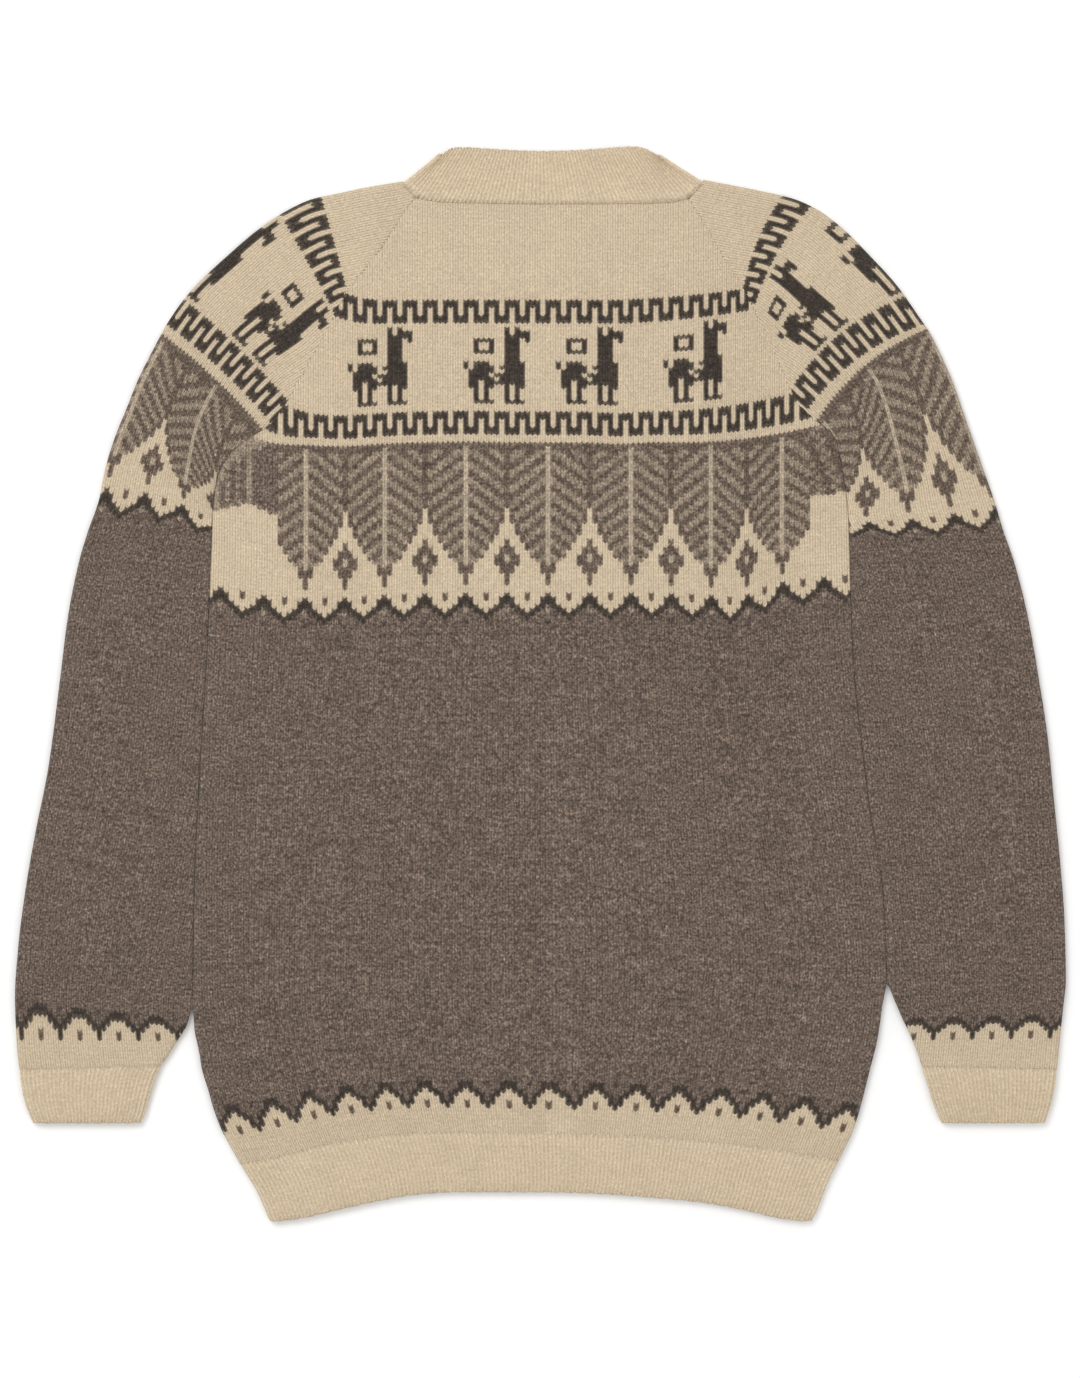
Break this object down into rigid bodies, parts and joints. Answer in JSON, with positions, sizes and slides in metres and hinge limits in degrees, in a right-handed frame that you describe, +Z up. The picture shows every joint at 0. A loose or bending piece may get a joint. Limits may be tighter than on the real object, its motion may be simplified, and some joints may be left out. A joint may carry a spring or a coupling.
{
  "type": "fair isle sweater",
  "caption": "Raglan pullover laid flat, back uppermost: knitted yoke with leaf, animal and key bands, ribbed stand collar, scalloped borders, ribbed hem and cuffs.",
  "frame": {"origin": "middle of the garment's footprint, on the surface that it lies on", "axes": "+Y from hem to neck, +Z up out of the cloth, +X towards the sleeve at the right of the view from above"},
  "size_m": [0.7, 0.7155, 0.0076],
  "materials": {
    "ground_knit": "heathered grey-brown alpaca stocking stitch, matt and slightly hairy",
    "rib_knit": "cream alpaca rib, matt and slightly hairy"
  },
  "bodies": {
    "root": {"back": "ground_knit", "front": "ground_knit", "sleeve_left": "ground_knit", "sleeve_right": "ground_knit", "collar": "rib_knit", "hem_rib_back": "rib_knit", "hem_rib_front": "rib_knit", "cuff_left": "rib_knit", "cuff_right": "rib_knit"}
  },
  "joints": []
}
